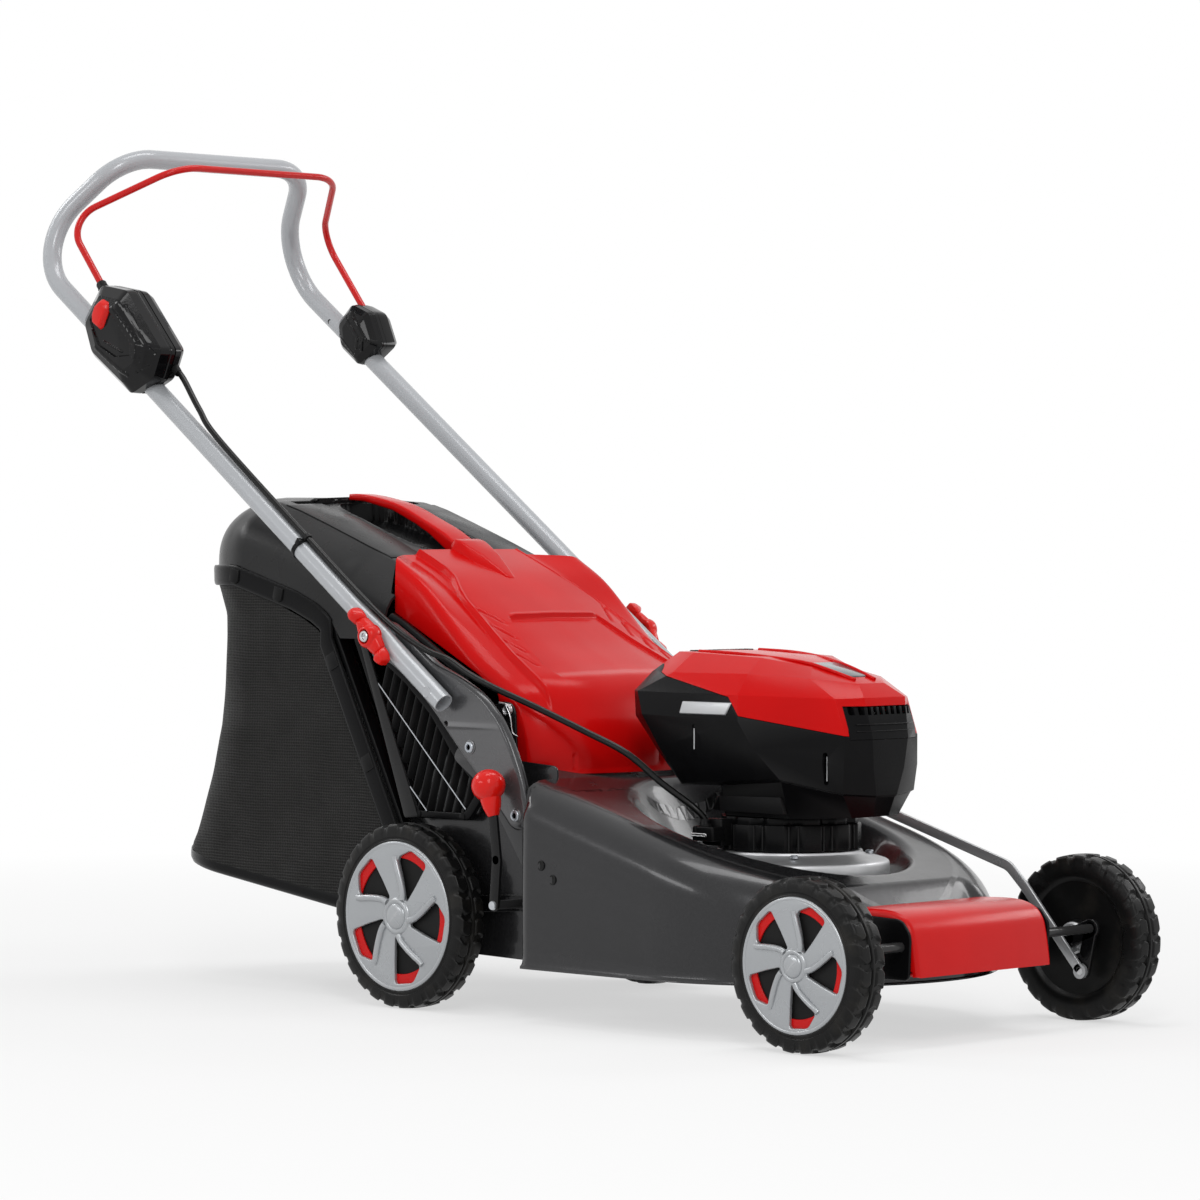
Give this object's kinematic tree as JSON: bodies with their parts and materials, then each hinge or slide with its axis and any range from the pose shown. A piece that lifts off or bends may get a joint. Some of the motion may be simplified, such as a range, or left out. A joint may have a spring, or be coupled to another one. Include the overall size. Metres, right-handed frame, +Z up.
{
  "type": "cordless lawn mower",
  "caption": "Walk-behind cordless rotary lawn mower with steel deck, folding tube handle with control bail, lugged wheels, height lever and rear grass bag.",
  "frame": {"origin": "centre of the bounding box on the ground, under the mower", "axes": "+X forward along the mowing direction, +Y to the mower's left, +Z up"},
  "size_m": [1.2997, 0.492, 0.9582],
  "materials": {
    "deck_paint": "glossy metallic anthracite",
    "red_plastic": "glossy red",
    "zinc_cast": "cast, satin",
    "black_plastic": "satin black",
    "gloss_black": "glossy black",
    "copper": "enamelled winding",
    "steel": "machined",
    "zinc_steel": "zinc plated",
    "blade_steel": "black paint, ground edges",
    "hub_iron": "cast",
    "silver_accent": "satin silver",
    "pack_plastic": "moulded, fine grain",
    "board": "sealed board",
    "key_plastic": "glossy orange",
    "handle_paint": "glossy light grey",
    "bracket_paint": "metallic anthracite",
    "red_paint": "glossy red powder coat",
    "rubber": "matt black",
    "cable": "satin black sheath",
    "black_paint": "satin black",
    "tyre": "lugged tread",
    "cap_silver": "satin silver-grey",
    "cover_grey": "semi-gloss dark grey",
    "mesh": "coarse ribbed mesh"
  },
  "bodies": {
    "chassis": {"deck": "deck_paint", "front_cover": "red_plastic", "motor_plate": "zinc_cast", "motor_base": "black_plastic", "stator": "copper", "spindle_bearings": "steel", "battery_case": "gloss_black", "front_grille": "black_plastic", "side_accents": "silver_accent", "lid_pins": "steel", "battery_pack": "pack_plastic", "control_board": "board", "safety_key": "key_plastic", "bracket_right": "bracket_paint", "bracket_left": "bracket_paint", "chassis_bolts": "zinc_steel", "side_louvres": "black_plastic", "flap_rod": "steel", "flap_springs": "steel", "deck_cable": "cable", "cable_plug": "black_plastic"},
    "handle": {"handle_tube": "handle_paint", "switch_box": "gloss_black", "switch_box_cover": "gloss_black", "pivot_box": "gloss_black", "pivot_box_cover": "gloss_black", "power_switch": "black_plastic", "button_spring": "steel", "knob_bolts": "zinc_steel", "cable_tie": "black_plastic", "handle_cable": "cable"},
    "control_bail": {"bail": "red_paint", "bail_boot": "rubber"},
    "button": {"safety_button": "red_plastic"},
    "right_knob": {"knob_right": "red_plastic"},
    "left_knob": {"knob_left": "red_plastic"},
    "rear_crank": {"rear_axle": "steel", "height_lever": "black_paint", "lever_ball": "red_plastic"},
    "front_crank": {"front_axle": "steel"},
    "link": {"link_rod": "zinc_steel"},
    "rear_right_wheel": {"wheel_rear_right": "tyre", "cap_rear_right": "cap_silver"},
    "rear_left_wheel": {"wheel_rear_left": "tyre", "cap_rear_left": "cap_silver"},
    "front_right_wheel": {"wheel_front_right": "tyre", "cap_front_right": "cap_silver"},
    "front_left_wheel": {"wheel_front_left": "tyre", "cap_front_left": "cap_silver"},
    "blade_set": {"rotor": "steel", "spindle": "steel", "blade_hub": "hub_iron", "blade": "blade_steel", "blade_bolt": "zinc_steel"},
    "flap": {"rear_flap": "red_plastic", "flap_insert": "gloss_black"},
    "bag": {"bag_cover": "cover_grey", "bag_frame": "black_plastic", "bag_fabric": "mesh"},
    "lid": {"battery_lid": "red_plastic"}
  },
  "joints": [
    {"name": "handle_fold", "type": "hinge", "parent": "chassis", "child": "handle", "pos_m": [0.00841, 0, 0.342], "axis": [0, 1, 0], "range_deg": [0, 130], "deforming": ["handle_cable", "deck_cable"]},
    {"name": "bail_swing", "type": "hinge", "parent": "handle", "child": "control_bail", "pos_m": [-0.51562, 0, 0.7689], "axis": [0, -1, 0], "range_deg": [0, 17], "stiffness_Nm_per_rad": 3, "springref_deg": -17.19},
    {"name": "button_press", "type": "slide", "parent": "handle", "child": "button", "axis": [0, 1, 0], "range_m": [0, 0.005], "stiffness_N_per_m": 400, "springref_m": -0.002, "deforming": ["button_spring"]},
    {"name": "right_knob_turn", "type": "hinge", "parent": "handle", "child": "right_knob", "pos_m": [-0.07148, -0.21, 0.40047], "axis": [0, 1, 0], "continuous": true},
    {"name": "left_knob_turn", "type": "hinge", "parent": "handle", "child": "left_knob", "pos_m": [-0.07148, 0.21, 0.40047], "axis": [0, 1, 0], "continuous": true},
    {"name": "height_adjust", "type": "hinge", "parent": "chassis", "child": "rear_crank", "pos_m": [-0.00959, 0, 0.112], "axis": [0, 1, 0], "range_deg": [-30, 12]},
    {"name": "front_adjust", "type": "hinge", "parent": "chassis", "child": "front_crank", "pos_m": [0.59041, 0, 0.0995], "axis": [0, 1, 0], "range_deg": [-30, 12]},
    {"name": "link_level", "type": "hinge", "parent": "front_crank", "child": "link", "pos_m": [0.58041, 0.189, 0.0545], "axis": [0, 1, 0], "range_deg": [-12, 30]},
    {"name": "rear_right_spin", "type": "hinge", "parent": "rear_crank", "child": "rear_right_wheel", "pos_m": [-0.03759, -0.19, 0.1], "axis": [0, 1, 0], "continuous": true},
    {"name": "rear_left_spin", "type": "hinge", "parent": "rear_crank", "child": "rear_left_wheel", "pos_m": [-0.03759, 0.19, 0.1], "axis": [0, 1, 0], "continuous": true},
    {"name": "front_right_spin", "type": "hinge", "parent": "front_crank", "child": "front_right_wheel", "pos_m": [0.56241, -0.22, 0.0875], "axis": [0, 1, 0], "continuous": true},
    {"name": "front_left_spin", "type": "hinge", "parent": "front_crank", "child": "front_left_wheel", "pos_m": [0.56241, 0.22, 0.0875], "axis": [0, 1, 0], "continuous": true},
    {"name": "blade_spin", "type": "hinge", "parent": "chassis", "child": "blade_set", "pos_m": [0.34241, 0, 0.1], "axis": [0, 0, 1], "continuous": true},
    {"name": "flap_open", "type": "hinge", "parent": "chassis", "child": "flap", "pos_m": [0.08141, 0, 0.324], "axis": [0, 1, 0], "range_deg": [0, 55], "stiffness_Nm_per_rad": 0.6, "springref_deg": -20.05},
    {"name": "bag_slide", "type": "slide", "parent": "chassis", "child": "bag", "axis": [-1, 0, 0], "range_m": [0, 0.35]},
    {"name": "lid_open", "type": "hinge", "parent": "chassis", "child": "lid", "pos_m": [0.21841, 0, 0.358], "axis": [0, -1, 0], "range_deg": [0, 75]}
  ],
  "couplings": [
    {"joint": "front_adjust", "follows": "height_adjust", "ratio": 1},
    {"joint": "link_level", "follows": "height_adjust", "ratio": -1}
  ]
}
